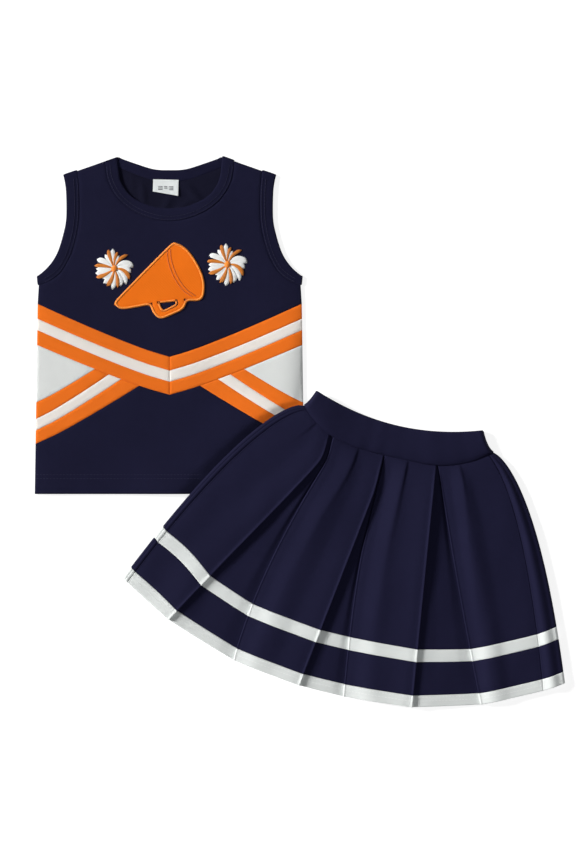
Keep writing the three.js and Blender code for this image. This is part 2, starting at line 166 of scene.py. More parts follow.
def bands(tree, vector, pitch, direction="X", profile="SIN", distortion=0.0):
    """Stripes `pitch` mm apart across a coordinate in millimetres."""
    inputs = {"Vector": vector, "Scale": math.pi / 10 / pitch, "Distortion": distortion,
              "Detail": 1.0, "Detail Scale": 2.0}
    wave = node(tree, "ShaderNodeTexWave", inputs, bands_direction=direction, wave_profile=profile)
    return wave.outputs["Fac"]


def maths(tree, operation, a, b):
    return node(tree, "ShaderNodeMath", {0: a, 1: b}, operation=operation).outputs[0]


def tint(tree, shader, colour, vector, fine, amount):
    """Varies the colour a little, with a fine fleck and a broad unevenness in the dye."""
    broad = 35.0
    fleck = node(tree, "ShaderNodeTexNoise", {"Vector": vector, "Scale": 1 / fine, "Detail": 3.0})
    cloud = node(tree, "ShaderNodeTexNoise", {"Vector": vector, "Scale": 1 / broad, "Detail": 2.0})
    both = maths(tree, "ADD", maths(tree, "MULTIPLY", fleck.outputs["Fac"], 0.6),
                 maths(tree, "MULTIPLY", cloud.outputs["Fac"], 0.4))
    ramp = node(tree, "ShaderNodeValToRGB", {"Fac": both})
    for end, place, share in zip(ramp.color_ramp.elements, (0.25, 0.75), (1 - amount, 1 + amount)):
        end.position = place
        end.color = (*[min(1, c * share) for c in colour], 1)
    set_inputs(tree, shader, {"Base Color": ramp.outputs["Color"]})
    return fleck.outputs["Fac"]


def dyed(name, colour, relief, depth, fine, amount, **look):
    """A cloth or thread: relief(tree, vector) shapes its surface, up to `depth` mm high.

    fine is the size of its fleck in mm, and amount how much the fleck changes the colour."""
    material, tree, shader = principled(name, colour, **look)
    vector = node(tree, "ShaderNodeUVMap", {}, uv_map="cloth").outputs["UV"]
    fleck = tint(tree, shader, colour, vector, fine, amount)
    height = maths(tree, "ADD", relief(tree, vector), fleck)
    bump = node(tree, "ShaderNodeBump", {"Height": height, "Distance": depth * MM, "Strength": 0.6})
    set_inputs(tree, shader, {"Normal": bump.outputs["Normal"]})
    return material


def knit(name, colour, amount, wale=0.9, depth=0.25, roughness=0.92, specular=0.1, **look):
    """Jersey: columns of V-shaped loops."""
    def relief(tree, vector):
        vee = bands(tree, vector, wale, profile="TRI")
        split = node(tree, "ShaderNodeSeparateXYZ", {"Vector": vector})
        slanted = maths(tree, "ADD", split.outputs["Y"], maths(tree, "MULTIPLY", vee, wale * 0.6))
        joined = node(tree, "ShaderNodeCombineXYZ", {"X": split.outputs["X"], "Y": slanted})
        loops = bands(tree, joined.outputs["Vector"], wale * 0.8, "Y")
        return maths(tree, "ADD", bands(tree, vector, wale), maths(tree, "MULTIPLY", loops, 0.7))
    return dyed(name, colour, relief, depth, 0.5, amount, roughness=roughness,
                specular=specular, **look)


def twill(name, colour):
    def relief(tree, vector):
        return bands(tree, vector, 0.75, "DIAGONAL", distortion=0.4)
    return dyed(name, colour, relief, depth=0.25, fine=0.6, amount=0.07, roughness=0.85,
                specular=0.1, sheen=0.2, sheen_tint=colour)


def thread(name, colour, amount=0.14, roughness=0.5, sheen=0.15, specular=0.4):
    """Embroidery or sewing thread, finely twisted along its length."""
    def relief(tree, vector):
        return bands(tree, vector, 0.35, "DIAGONAL")
    return dyed(name, colour, relief, 0.08, 0.8, amount, roughness=roughness,
                specular=specular, sheen=sheen)


def woven(name, colour, pitch, roughness):
    """A plain ribbed weave, for the label and the elastic."""
    def relief(tree, vector):
        return maths(tree, "ADD", bands(tree, vector, pitch), bands(tree, vector, pitch, "Y"))
    return dyed(name, colour, relief, depth=0.12, fine=0.5, amount=0.05, roughness=roughness,
                specular=0.4, sheen=0.2)


NAVY_KNIT = knit("navy_knit", (0.0075, 0.0075, 0.0260), 0.10, sheen=0.02,
                 sheen_tint=(0.5, 0.5, 0.9))
SKIRT_KNIT = knit("skirt_knit", (0.0089, 0.0085, 0.0240), 0.08, wale=0.7, depth=0.08,
                  roughness=0.68, specular=0.12, gloss_tint=(0.40, 0.42, 1.0))
ORANGE_KNIT = knit("orange_knit", (0.78, 0.155, 0.012), 0.06, sheen=0.1, sheen_tint=(1, 0.6, 0.3))
# The back panel's inner face: the same knit, its colour darkened as painted shade for the inside of
# the neck opening.
NAVY_REVERSE_SHADED = knit("navy_knit_reverse_shaded", (0.0052, 0.0052, 0.0165), 0.10)
STRIP_WHITE = knit("strip_white_knit", (0.77, 0.725, 0.68), 0.05, sheen=0.1)
WHITE_KNIT = knit("white_knit", (0.66, 0.68, 0.67), 0.05, sheen=0.1)
SKIRT_WHITE = knit("skirt_white_knit", (0.66, 0.69, 0.68), 0.04, wale=0.7, depth=0.16, sheen=0.1)
ORANGE_TWILL = twill("orange_twill", (0.80, 0.158, 0.007))
ORANGE_THREAD = thread("orange_thread", (0.90, 0.27, 0.025))
# Thread for the bell's rim stitching and the line inside the border: an orange darkened as painted
# shade for the grooves they lie in.
BELL_SHADE_THREAD = thread("bell_shaded_orange_thread", (0.60, 0.11, 0.008), 0.1)
PETAL_ORANGE = thread("petal_orange_thread", (0.60, 0.19, 0.016), 0.2)
WHITE_THREAD = thread("white_thread", (0.80, 0.81, 0.80), 0.08)
NAVY_THREAD = thread("navy_thread", (0.030, 0.030, 0.062), 0.1, roughness=0.9, sheen=0.0,
                     specular=0.1)
GREY_THREAD = thread("grey_thread", (0.13, 0.14, 0.15))
LABEL_SATIN = woven("label_satin", (0.76, 0.80, 0.80), 0.3, 0.5)
ELASTIC_WEAVE = woven("elastic_weave", (0.66, 0.65, 0.62), 1.1, 0.8)


# ------------------------------ outlines of CAD pieces
def flat_loops(name, side=1):
    """The outlines of a CAD node's flat top (side 1) or underside (-1), longest first, in mm.

    Each keeps the cloth on its left, so a hole runs the other way round."""
    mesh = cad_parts[name].data
    at = np.array([v.co for v in mesh.vertices]) / MM
    level = at[:, 2].max() if side > 0 else at[:, 2].min()
    first = {}
    weld = [first.setdefault(tuple(np.round(p, 2)), i) for i, p in enumerate(at)]
    steps = set()
    for face in mesh.polygons:
        ring = [weld[i] for i in face.vertices]
        if all(abs(at[i, 2] - level) < 0.02 for i in ring):
            steps.update(zip(ring, ring[1:] + ring[:1]))
    following = {a: b for a, b in steps if (b, a) not in steps}
    loops = []
    while following:
        start, here = following.popitem()
        loop = [start]
        while here != start:
            loop.append(here)
            here = following.pop(here)
        loops.append(at[loop][::side, :2])
    return sorted(loops, key=perimeter, reverse=True)


def perimeter(loop):
    return np.linalg.norm(np.roll(loop, -1, 0) - loop, axis=1).sum()


def length_of(line):
    return np.linalg.norm(np.diff(line, axis=0), axis=1).sum()


def headings(loop):
    """Unit directions into and out of each point of a loop."""
    out = unit(np.roll(loop, -1, 0) - loop)
    return np.roll(out, 1, 0), out


def left_of(along):
    """Each flat vector turned a quarter turn to the left."""
    return np.column_stack([-along[:, 1], along[:, 0]])


def corner_places(loop, degrees):
    into, out = headings(loop)
    turn = np.degrees(np.arccos(np.clip((into * out).sum(1), -1, 1)))
    return np.flatnonzero(turn > degrees)


def smooth_chain(points, spacing):
    """A Catmull-Rom curve through the points, cut about every `spacing` mm, both ends included."""
    points = np.asarray(points, float)
    padded = np.concatenate([[2 * points[0] - points[1]], points, [2 * points[-1] - points[-2]]])
    made = []
    for p0, p1, p2, p3 in zip(padded, padded[1:], padded[2:], padded[3:]):
        cuts = max(1, round(float(np.linalg.norm(p2 - p1)) / spacing))
        s = np.arange(cuts)[:, None] / cuts
        made.append(0.5 * (2 * p1 + (p2 - p0) * s + (2 * p0 - 5 * p1 + 4 * p2 - p3) * s**2
                           + (3 * p1 - p0 - 3 * p2 + p3) * s**3))
    return np.concatenate([*made, points[-1:]])


def chains(loop, degrees):
    """The loop cut at its corners into open lines."""
    corners = corner_places(loop, degrees)
    if len(corners) == 0:
        return [np.concatenate([loop, loop[:1]])]
    turned = np.roll(loop, -corners[0], 0)
    stops = [*(corners - corners[0]), len(loop)]
    closed = np.concatenate([turned, turned[:1]])
    return [closed[a:b + 1] for a, b in zip(stops, stops[1:])]


def smooth_loop(loop, spacing, degrees):
    """The loop smoothed between its corners, which turn more than the given degrees."""
    return np.concatenate([smooth_chain(chain, spacing)[:-1] for chain in chains(loop, degrees)])


def travelled(line):
    """The distance along a line up to each of its points."""
    return np.concatenate([[0], np.cumsum(np.linalg.norm(np.diff(line, axis=0), axis=1))])


def read_at(places, far, values):
    """Rows of values that belong to the distances far, read off at other places."""
    return np.stack([np.interp(places, far, column) for column in values.T], -1)


def evenly(points, count):
    """The same line, with `count` points the same distance apart."""
    far = travelled(points)
    return read_at(np.linspace(0, far[-1], count), far, points)


def rails(name, side, count):
    """The sewn line and the free edge of a CAD band, as matching rows of points."""
    long = sorted(chains(flat_loops(name, side)[0], 45), key=lambda c: -len(c))[:2]
    seam, edge = sorted((smooth_chain(c, 2) for c in long), key=perimeter, reverse=True)
    if np.linalg.norm(seam[0] - edge[0]) > np.linalg.norm(seam[0] - edge[-1]):
        edge = edge[::-1]
    if seam[0][0] > seam[-1][0]:
        seam, edge = seam[::-1], edge[::-1]
    return evenly(seam, count), evenly(edge, count)


def offset_loop(loop, inward):
    """The loop moved to its left, which is inwards, with its sharpest corners kept short."""
    into, out = headings(loop)
    normal = unit(left_of(into + out))
    slant = np.maximum(0.4, (left_of(into) * normal).sum(1))
    return loop + normal * (inward / slant)[:, None]


def inside(points, loops):
    """Which points are inside an odd number of the loops."""
    found = np.zeros(len(points), bool)
    x, y = points[:, 0:1], points[:, 1:2]
    for loop in loops:
        x0, y0 = loop.T
        x1, y1 = np.roll(loop, -1, 0).T
        rise = np.where(y1 == y0, 1e-9, y1 - y0)
        crossing = ((y0 > y) != (y1 > y)) & (x < (x1 - x0) * (y - y0) / rise + x0)
        found ^= crossing.sum(1) % 2 == 1
    return found


def nearest(points, lines):
    """Distance from each point to the closest of the line points."""
    lines = np.asarray(lines)
    parts = np.array_split(points, max(1, len(points) // 1500))
    return np.concatenate([
        np.sqrt(((p[:, None] - lines[None]) ** 2).sum(2).min(1)) if len(p) else np.zeros(0)
        for p in parts])


# ------------------------------ flat pieces of cloth
CREASE_WIDTH = 0.9                # half width of the groove that a row of stitches pulls in


def to_top(x, y):
    return x - TOP_X, y - HEM_Y


def numbered(rings):
    """The point numbers of each ring, once the rings are joined end to end."""
    return np.split(np.arange(sum(map(len, rings))), np.cumsum([len(ring) for ring in rings])[:-1])


def fill(rings, spacing, extra):
    """Triangles over the area inside the rings, with evenly spread points."""
    border = np.concatenate(rings)
    low, high = border.min(0), border.max(0)
    rows = np.arange(low[1], high[1], spacing * 0.87)
    columns = np.arange(low[0], high[0], spacing)
    grid = np.array([(x + (i % 2) * spacing / 2, y) for i, y in enumerate(rows) for x in columns])
    inner = np.concatenate([grid, *extra]) if len(extra) else grid
    inner = inner[inside(inner, rings)]
    inner = inner[nearest(inner, border) > spacing * 0.45]
    for line in extra:
        near = nearest(inner, line)
        inner = inner[(near < 1e-6) | (near > spacing * 0.4)]
    points = np.concatenate([border, inner])
    edges = [edge for ring in numbered(rings)
             for edge in zip(ring.tolist(), np.roll(ring, -1).tolist())]
    made = delaunay_2d_cdt([Vector(p) for p in points], edges, [], 1, 1e-5)
    verts = np.array([tuple(v) for v in made[0]])
    faces = np.array([f for f in made[2] if len(f) == 3])
    if len(rings) > 1:
        faces = faces[inside(verts[faces].mean(1), rings)]
    return verts, faces, [v[0] for v in made[3]]


def cloth_piece(name, material, height, thickness=CLOTH, spacing=2.8, grow=0.17, degrees=30,
                creases=()):
    """A closed sheet cut to a CAD piece's outline.

    height(x, y, away) is its middle at a place that is `away` mm from its edge."""
    loops = [smooth_loop(loop, spacing * 0.7, degrees) for loop in flat_loops(name)]
    loops = [offset_loop(loop, -grow) for loop in loops]
    rounding, brink = ([offset_loop(loop, part * thickness) for loop in loops]
                       for part in (0.15, 0.5))
    extra = [line + [0, d] for line in creases for d in (-CREASE_WIDTH, 0, CREASE_WIDTH)]
    sheet, faces, source = fill(brink, spacing, extra)
    border = np.concatenate(loops)
    place = {s: i for i, s in enumerate(source) if s < len(border)}
    order = np.array([place[i] for i in range(len(border))])

    def levels(points, fraction):
        z = height(points[:, 0], points[:, 1], nearest(points, border))
        for line in creases:
            z = z - 0.45 * np.exp(-(nearest(points, line) / CREASE_WIDTH) ** 2)
        half = thickness / 2 * fraction
        return z + half, z - half
    parts = [np.column_stack([border, levels(border, 0)[0]])]
    for points, fraction in ((np.concatenate(rounding), 0.714), (sheet, 1.0)):
        parts += [np.column_stack([points, z]) for z in levels(points, fraction)]
    starts = np.cumsum([0] + [len(part) for part in parts])
    made = []
    for ring in numbered(loops):
        for middle, inner, corners in ((starts[1], starts[3], [0, 1, 2, 3]),
                                       (starts[2], starts[4], [1, 0, 3, 2])):
            made += walls(ring, ring + middle)[:, corners].tolist()
            made += walls(ring + middle, order[ring] + inner)[:, corners].tolist()
    made += (faces + starts[3]).tolist() + (faces[:, ::-1] + starts[4]).tolist()
    points = np.concatenate(parts)
    piece = make_mesh(name, points, made, material, np.column_stack(to_top(*points[:, :2].T)))
    a, b, c = (sheet[faces[:, k]] for k in range(3))
    area = np.abs((left_of(b - a) * (c - a)).sum(1)).sum() / 2
    return piece, (border.max(0) - border.min(0)) * MM, float(area) * MM**2


def cut_cloth(name, body, slot, material, height, rests_on, strip=False, **settings):
    """A cut piece hung on its body; for a strip it works out a size from its length along the
    curve.
    """
    piece, size, area = cloth_piece(name, material, height, **settings)
    settle(piece, body, slot, name)
    if strip:
        length = perimeter(flat_loops(name)[0]) / 2 * MM
        size = length, max(0.0101, area / length)
    return piece


# ------------------------------ threads
UP = (0, 0, 1.0)
TURNED = [0, 3, 2, 1]             # a quad's corners, taken the other way round


def tubes(name, paths, radii, material, up=UP, sides=6):
    """One mesh of many round threads. paths is (threads, points, 3) in mm; radii tapers each."""
    paths = np.asarray(paths, float)
    count, length, _ = paths.shape
    along = unit(np.gradient(paths, axis=1))
    across = unit(np.cross(along, np.broadcast_to(up, paths.shape)))
    lift = np.cross(across, along)
    radii = np.broadcast_to(radii, (count, length))
    angle = np.arange(sides) * 2 * math.pi / sides
    ring = (across[:, :, None] * np.cos(angle)[:, None] + lift[:, :, None] * np.sin(angle)[:, None])
    points = (paths[:, :, None] + ring * radii[:, :, None, None]).reshape(-1, 3)
    far = np.cumsum(np.linalg.norm(np.diff(paths, axis=1, prepend=paths[:, :1]), axis=2), axis=1)
    uv = np.stack(np.broadcast_arrays(far[:, :, None], (angle * 0.25)[None, None]), -1)
    uv = uv.reshape(-1, 2) + np.repeat(np.arange(count) * 1.7, length * sides)[:, None]
    grid = np.arange(len(points)).reshape(count, length, sides)
    faces = walls(grid[:, :-1], grid[:, 1:])[:, TURNED].tolist()
    faces += grid[:, 0].tolist() + grid[:, -1, ::-1].tolist()
    return make_mesh(name, points, faces, material, uv)


def stitch_row(name, line, body, slot, material, normals=UP, radius=0.2):
    """A row of straight machine stitches along a line that lies on the cloth's surface."""
    length, gap = 2.7, 0.55
    normals = np.broadcast_to(normals, line.shape)
    far = travelled(line)
    count = max(1, int(far[-1] // (length + gap)))
    share = np.linspace(0, 1, 6)
    starts = (np.arange(count) + 0.5) * far[-1] / count - length / 2
    places = np.clip(starts[:, None] + share * length, 0, far[-1])
    at, normals = read_at(places, far, line), unit(read_at(places, far, normals))
    arch = radius * 0.9 - 0.38 * (2 * share - 1) ** 6
    paths = at + normals * arch[None, :, None]
    radii = radius * (1 - 0.45 * np.abs(2 * share - 1) ** 4)
    return settle(tubes(name, paths, radii, material, normals, 5), body, slot)


# ------------------------------ the top
def skirt_place(x, y):
    """Across and down positions on the skirt's own frame for a point on the table."""
    dx, dy = x - SKIRT_X, y - SKIRT_Y
    return dx * TURN_COS - dy * TURN_SIN, -dx * TURN_SIN - dy * TURN_COS


ARM_POINTS, NECK_POINTS = 60, 110
arm_rails = {side: rails(f"armhole_band_{side}", 1, ARM_POINTS) for side in ("left", "right")}
neck_rails, back_neck_rails = (rails("neckband", face, NECK_POINTS) for face in (1, -1))


def garment_border():
    """Points along the sides, armholes and shoulders, where front and back are held together."""
    made = []
    for side, sign in (("left", -1), ("right", 1)):
        edge = arm_rails[side][1]
        edge = edge[np.argsort(edge[:, 1])]
        hem_corner = np.array([TOP_X + sign * HALF_HEM, HEM_Y])
        neck_point = neck_rails[1][0 if sign < 0 else -1]
        made += [evenly(np.array([hem_corner, edge[0]]), 90), edge,
                 evenly(np.array([edge[-1], neck_point]), 30)]
    return np.concatenate(made)


BORDER = garment_border()


def skirt_gap(x, y):
    """How far a place is outside the skirt's left side, in mm (negative underneath it)."""
    across, down = skirt_place(x, y)
    edge = -np.interp(np.clip(down, 0, 220), *silhouette_line(-1))
    corner = np.maximum(0, -8 - down)
    outside = np.hypot(np.maximum(0, edge - across), corner)
    return outside - np.maximum(0, across - edge) * (corner == 0)


def front_height(x, y, away):
    """The front layer: slack between its sewn sides, pressed under the skirt, heaped beside it."""
    up = to_top(x, y)[1]
    loose = 1 - np.exp(-nearest(np.column_stack([x, y]), BORDER) / 8)
    gap = skirt_gap(x, y)
    soft = 0.95 + 0.30 * ripple(x, y, 95, 3) + 0.12 * ripple(x, y, 38, 4)
    heaped = 3.0 * np.exp(-(np.maximum(0, gap - 12) / 32) ** 2)
    hem = 0.45 * np.exp(-up / 25) * ripple(x, y * 0.3, 70, 9)
    free = smoothstep(gap, -3, 13)
    pucker = 0.10 * np.exp(-away / 4) * ripple(x, y, 5.5, 5) - 0.22 * np.exp(-away / 1.5)
    ridge = 0.14 * np.exp(-(((away - 2.1) / 1.0) ** 2))
    return FRONT_MID + loose * (0.12 + free * (soft + hem + heaped)) + pucker + ridge


# Creases of the back layer inside the neck: middle, direction in degrees, half length and height.
NECK_CREASES = [(-26, 291, 97, 15, 1.5), (-3, 280, 62, 13, 1.3), (11, 277, 38, 14, 1.2),
                (17, 297, -42, 10, 1.0), (26, 288, -52, 12, 1.3), (-36, 303, 100, 9, 0.9)]


def back_height(x, y, away):
    """The back layer lies flat on the table, but creases where the neck leaves it free."""
    across, up = to_top(x, y)
    crease = np.zeros(np.shape(x))
    for middle_x, middle_y, degrees, reach, height in NECK_CREASES:
        c, s = math.cos(math.radians(degrees)), math.sin(math.radians(degrees))
        along = (across - middle_x) * c + (up - middle_y) * s
        aside = (up - middle_y) * c - (across - middle_x) * s
        crease = crease + height * np.exp(-((along / reach) ** 2) - (aside / 3.2) ** 2)
    return BACK_MID + 0.12 * (1 + ripple(x, y, 60, 8)) * np.minimum(1, away / 20) + (
        crease * np.minimum(1, away / 8))


def front_middle(x, y):
    """The front layer's middle, away from the edges of its pieces."""
    return front_height(x, y, np.full(np.shape(x), 20.0))


def on_yoke(x, y):
    """The front layer's upper surface."""
    return front_middle(x, y) + CLOTH / 2


def on_front(line, sunk):
    """The line laid on the front layer, sunk a little into it, or raised when sunk is negative."""
    return np.column_stack([line, on_yoke(*line.T) - sunk])


def from_end(count):
    """How many steps each of a row's points is from the nearer end."""
    place = np.arange(count)
    return np.minimum(place, place[::-1])


def band_loop(front, back):
    """A folded rib band right round an opening: over the front, round a fold, back underneath."""
    half, overlap = 0.66, 0.35
    high_fold, low_fold = FRONT_MID + 0.4, BACK_MID
    middle, radius = (high_fold + low_fold) / 2, (high_fold - low_fold) / 2
    phi = np.linspace(0, 2 * math.pi, 22, endpoint=False)
    share = 0.5 - 0.5 * np.sign(np.cos(phi)) * np.abs(np.cos(phi)) ** 0.45
    rise = half * np.sign(np.sin(phi)) * np.abs(np.sin(phi)) ** 0.8 * (0.82 + 0.25 * share)
    rings = []

    def ring(s, e, level, out, tilt):
        s = s + unit(s - e) * overlap
        push = (radius + rise) * math.sin(tilt)
        flat = s + (e - s) * share[:, None] + out * push[:, None]
        rings.append(np.column_stack([flat, level + rise * math.cos(tilt)]))

    def run(s_line, e_line, start):
        """Along one layer at the tilt start, then half-way round the fold at its end."""
        last = len(s_line) - 1
        out = unit(left_of(e_line - s_line)[last])
        if out @ (s_line[last] - s_line[last - 1]) < 0:
            out = -out
        if start == 0:
            level = front_middle(*((s_line + e_line) / 2).T) + 0.15
            level = high_fold + (level - high_fold) * smoothstep(from_end(last + 1) * 2.0, 0, 16)
        else:
            level = np.full(last + 1, low_fold)
            out = -out
        for s, e, z in zip(s_line, e_line, level):
            ring(s, e, z, out * 0, start)
        for tilt in start + math.pi * np.arange(1, 8) / 8:
            ring(s_line[last], e_line[last], middle + radius * math.cos(tilt), out, tilt)

    (seam, edge), (back_seam, back_edge) = front, back
    run(seam, edge, 0)
    run(back_seam[::-1], back_edge[::-1], math.pi)
    return rings


def skin(name, rings, material, uv_rings=None, closed=True):
    """A mesh over rings of points: closed joins the last ring to the first, else both get a lid."""
    size, count = len(rings[0]), len(rings)
    points = np.concatenate(rings)
    grid = np.arange(len(points)).reshape(count, size)
    if closed:
        faces = walls(grid, np.roll(grid, -1, 0))
    else:
        near, far = (side[[0, -1], :size // 2] for side in (grid, grid[:, ::-1]))
        lids = np.stack([near[:, :-1], far[:, :-1], far[:, 1:], near[:, 1:]], -1)
        faces = np.concatenate([walls(grid[:-1], grid[1:]), lids[0], lids[1][:, TURNED]])
    if uv_rings is None:
        steps = np.linalg.norm(np.diff(points.reshape(count, size, 3), axis=0), axis=2).mean(1)
        far = np.concatenate([[0], np.cumsum(steps)])
        uv = np.stack(np.meshgrid(far, travelled(rings[0]), indexing="ij"), -1).reshape(-1, 2)
    else:
        uv = np.concatenate(uv_rings)
    piece = make_mesh(name, points, faces.tolist(), material, uv)
    a, b, c, d = points[faces.T]
    volume = (a * np.cross(b, c)).sum() + (a * np.cross(c, d)).sum()
    if volume < 0:
        piece.data.flip_normals()
    return piece


def build_bands():
    def add(name, front, back):
        piece = settle(skin(name, band_loop(front, back), NAVY_KNIT), "top", "knit_navy", name)
        length = sum(length_of(line) for line in (*front, *back)) / 2
    add("neckband", neck_rails, back_neck_rails)
    for side in ("left", "right"):
        add(f"armhole_band_{side}", arm_rails[side], arm_rails[side])


HEM_ROWS = (15.0, 18.8)           # heights of the double stitching above the hem's edge


def build_top_cloth():
    along = np.linspace(-HALF_HEM + 1, HALF_HEM - 1, 110) + TOP_X
    hem_lines = [np.column_stack([along, np.full(len(along), HEM_Y + up)]) for up in HEM_ROWS]

    def cut(name, slot, material, height=front_height, rests_on=("back_panel",), **settings):
        return cut_cloth(name, "top", slot, material, height, list(rests_on), **settings)
    back = cut("back_panel", "knit_navy", NAVY_KNIT, back_height, ["table"])
    # The back panel's up-facing faces take the darker reverse knit, which is painted shade for the
    # inside of the neck opening.
    back.data.materials.append(NAVY_REVERSE_SHADED)
    for face in back.data.polygons:
        face.material_index = int(face.normal.z > 0)
    cut("front_yoke", "knit_navy", NAVY_KNIT)
    cut("front_lower_panel", "knit_navy", NAVY_KNIT, creases=hem_lines)
    orange, white = ("knit_orange", ORANGE_KNIT), ("knit_white", STRIP_WHITE)
    for side in ("left", "right"):
        for strip in ("chevron", "crossed_band"):
            for place, look in (("upper", orange), ("middle", white), ("lower", orange)):
                cut(f"{strip}_{place}_{side}", *look, spacing=2.2, strip=True)
        cut(f"side_insert_{side}", "knit_white", WHITE_KNIT, spacing=2.4, strip=True)
    for k, line in enumerate(hem_lines):
        stitch_row(f"top_hem_stitches_{k + 1}", on_front(line, 0.3), "top", "knit_navy",
                   NAVY_THREAD)
        under = np.column_stack([line, np.full(len(line), BACK_MID - CLOTH / 2)])
        stitch_row(f"top_back_hem_stitches_{k + 1}", under, "top", "knit_navy", NAVY_THREAD,
                   normals=(0, 0, -1.0), radius=0.14)


def build_top_stitching():
    def row(name, sides, inset):
        """Stitches on a band, a distance inside its seam and clear of its folded ends."""
        seam, edge = sides
        line = (seam - unit(seam - edge) * inset)[3:-3]
        stitch_row(name, on_front(line, -0.4), "top", "knit_navy", NAVY_THREAD)
    for k, inset in enumerate((0.9, 4.2)):
        row(f"neck_stitches_{k + 1}", neck_rails, inset)
        for side in ("left", "right"):
            row(f"armhole_stitches_{side}_{k + 1}", arm_rails[side], inset)


# ------------------------------ label
def build_label():
    """A folded woven label: its free lower edge lifts a little off the back panel."""
    low, high = box_of("size_label")

    def height(x, y, away):
        droop = np.clip((high[1] - y) / (high[1] - low[1]), 0, 1)
        return 1.95 + 0.9 * droop**2 + 0.12 * ripple(x, y, 12, 11)
    label, size, area = cloth_piece("size_label", LABEL_SATIN, height, thickness=0.5,
                                    spacing=0.9, grow=0.0)
    settle(label, "size_label", "label_satin", "size_label")
    middle = (low[:2] + high[:2]) / 2
    slope = math.tan(math.radians(4)) * 0.4

    def mark(start, end, row):
        along = np.linspace(start, end, 8)
        x, y = middle[0] + along, middle[1] + row - along * slope
        return np.column_stack([x, y, height(x, y, None) + 0.3])
    blocks = [(-7.5, -3.2), (-1.6, 1.4), (3.0, 7.2)]
    rows = [(0.9, blocks), (-0.5, blocks), (-1.9, blocks[::2])]
    paths = [mark(*block, row) for row, shown in rows for block in shown]
    marks = tubes("size_label_marks", paths, 0.42, GREY_THREAD)
    settle(marks, "size_label", "thread_white")


# ------------------------------ embroidery
def build_megaphone():
    def patch_height(x, y, away):
        return on_yoke(x, y) + 0.45
    cut_cloth("megaphone_patch", "top", "twill_orange", ORANGE_TWILL, patch_height, ["front_yoke"],
              thickness=0.7, spacing=2.0, grow=0.4, degrees=80)
    outer = rounded(smooth_loop(flat_loops("megaphone_edge_stitching")[0], 0.4, 60), 120)
    hole = rounded(smooth_loop(flat_loops("megaphone_handle_stitching")[1][::-1], 0.4, 60), 3)
    rim = chains(flat_loops("megaphone_bell_stitching")[0], 45)
    sides = sorted(rim, key=length_of, reverse=True)[:2]
    bell = [satin_paths(evenly(smooth_chain(side, 1.0), 130), 1.1, 0, 0.9, False) for side in sides]

    def sew(name, paths, radius, material, *nodes):
        settle(tubes(name, paths, radius, material, sides=5), "top", "thread_orange", *nodes)
    for name, loop, width, inward in (("megaphone_edge_stitching", outer, 2.3, 1),
                                      ("megaphone_handle_stitching", hole, 2.0, -1)):
        sew(name, satin_paths(loop, width, inward, 1.05, True), 0.26, ORANGE_THREAD, name)
    # The inner line is painted shade: a thin, darker thread line standing for the shaded groove
    # just inside the border.
    sew("megaphone_inner_shade_line", satin_paths(outer, 0.9, 5.8, 0.5, True), 0.2, BELL_SHADE_THREAD)
    sew("megaphone_bell_stitching", np.concatenate(bell), 0.21, BELL_SHADE_THREAD,
        "megaphone_bell_stitching")


def rounded(loop, times):
    """The loop with its corners rounded, by letting each point settle between its neighbours."""
    for _ in range(times):
        loop = (np.roll(loop, 1, 0) + 2 * loop + np.roll(loop, -1, 0)) / 4
    return loop


def satin_paths(line, width, inward, crown, closed):
    """Threads laid side by side across a line, each arching over it."""
    spacing, slant = 0.42, 0.7
    ring = np.concatenate([line, line[:1]]) if closed else line
    count = int(length_of(ring) / spacing)
    at = evenly(ring, count + 1)[:count]
    steps = np.roll(at, -1, 0) - np.roll(at, 1, 0) if closed else np.gradient(at, axis=0)
    along = unit(steps)
    left = left_of(along)
    share = np.linspace(-0.5, 0.5, 7)
    centre = at + left * inward * width / 2
    flat = centre[:, None] + (left * width + along * slant)[:, None] * share[None, :, None]
    z = on_yoke(flat[..., 0].ravel(), flat[..., 1].ravel()).reshape(flat.shape[:2])
    arch = crown * (1 - np.abs(2 * share) ** 2.6)
    return np.dstack([flat, z + 0.12 + arch[None]])


# Petals of the embroidered pom-poms: the direction of the tip and of the root in
# degrees, the length as a share of the radius, the greatest width in mm, and w or o for colour.
PETALS = [
    (94, 99, 1.00, 4.0, "w"), (78, 92, 0.86, 3.0, "o"), (69, 80, 0.70, 3.0, "w"),
    (45, 68, 0.98, 3.3, "o"), (4, 46, 0.95, 6.0, "w"), (-14, 22, 0.85, 4.6, "w"),
    (-37, 4, 0.93, 4.0, "o"), (-54, -20, 0.97, 4.0, "w"), (-72, -45, 0.92, 4.6, "w"),
    (-81, -66, 0.96, 3.8, "o"), (-96, -84, 1.03, 4.2, "w"), (-113, -98, 0.94, 4.6, "o"),
    (-127, -112, 0.90, 4.2, "w"), (-140, -126, 0.76, 3.2, "w"), (-155, -142, 1.00, 4.0, "o"),
    (-166, -158, 0.96, 4.4, "w"), (-180, -174, 0.90, 4.0, "w"), (172, 160, 1.00, 3.6, "o"),
    (153, 136, 0.98, 4.8, "w"), (124, 118, 0.84, 3.6, "w"), (108, 112, 1.00, 4.0, "o")]
POMPOM_RADIUS = 19.6
ROOT_RADIUS = 1.6                 # where the petals start, round the hub
ALONG_PETAL = np.linspace(0, 1, 11)  # places along a petal's threads
WIDEST = 0.74                     # where along its length a petal is widest


